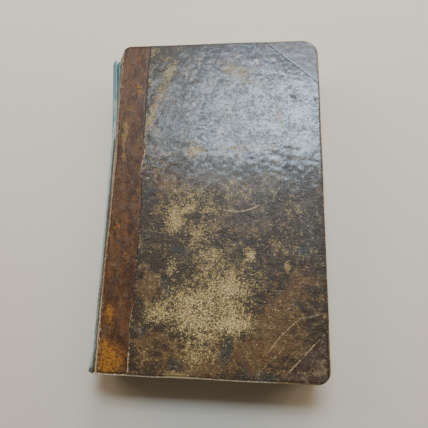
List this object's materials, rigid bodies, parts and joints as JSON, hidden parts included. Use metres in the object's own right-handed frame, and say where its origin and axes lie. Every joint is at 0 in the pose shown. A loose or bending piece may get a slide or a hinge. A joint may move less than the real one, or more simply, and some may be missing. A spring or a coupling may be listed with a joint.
{
  "type": "antique book",
  "caption": "Antique folio book in worn half leather with marbled paper sides; both covers open on their joints.",
  "frame": {"origin": "bottom centre of the closed book's bounding box, on the surface it lies on", "axes": "+X from the spine to the fore-edge, +Y from the tail to the head, +Z from the back cover up to the front cover"},
  "size_m": [0.2325, 0.346, 0.05],
  "materials": {
    "leather": "worn, half gloss",
    "side_paper": "rubbed, glazed marbled paper",
    "board": "matt, fibrous",
    "endpaper": "matt, toned",
    "leaves": "matt, toned edges",
    "spine_cloth": "faded, satin",
    "sewing_cord": "matt hemp",
    "headband": "matt thread"
  },
  "bodies": {
    "book_block": {"text_block": "leaves", "spine_strip": "spine_cloth", "front_flyleaf": "endpaper", "back_flyleaf": "endpaper", "head_band": "headband", "tail_band": "headband", "sewing_cord_1": "sewing_cord", "sewing_cord_2": "sewing_cord", "sewing_cord_3": "sewing_cord", "sewing_cord_4": "sewing_cord", "sewing_cord_5": "sewing_cord"},
    "front_cover": {"front_board": "board", "front_spine_leather": "leather", "front_side_paper": "side_paper", "front_head_corner": "leather", "front_tail_corner": "leather", "front_pastedown": "endpaper"},
    "back_cover": {"back_board": "board", "back_spine_leather": "leather", "back_side_paper": "side_paper", "back_head_corner": "leather", "back_tail_corner": "leather", "back_pastedown": "endpaper"}
  },
  "joints": [
    {"name": "front_cover_hinge", "type": "hinge", "parent": "book_block", "child": "front_cover", "pos_m": [-0.09975, 0, 0.0473], "axis": [0, -1, 0], "range_deg": [0, 180]},
    {"name": "back_cover_hinge", "type": "hinge", "parent": "book_block", "child": "back_cover", "pos_m": [-0.09975, 0, 0.0027], "axis": [0, 1, 0], "range_deg": [0, 180]}
  ]
}
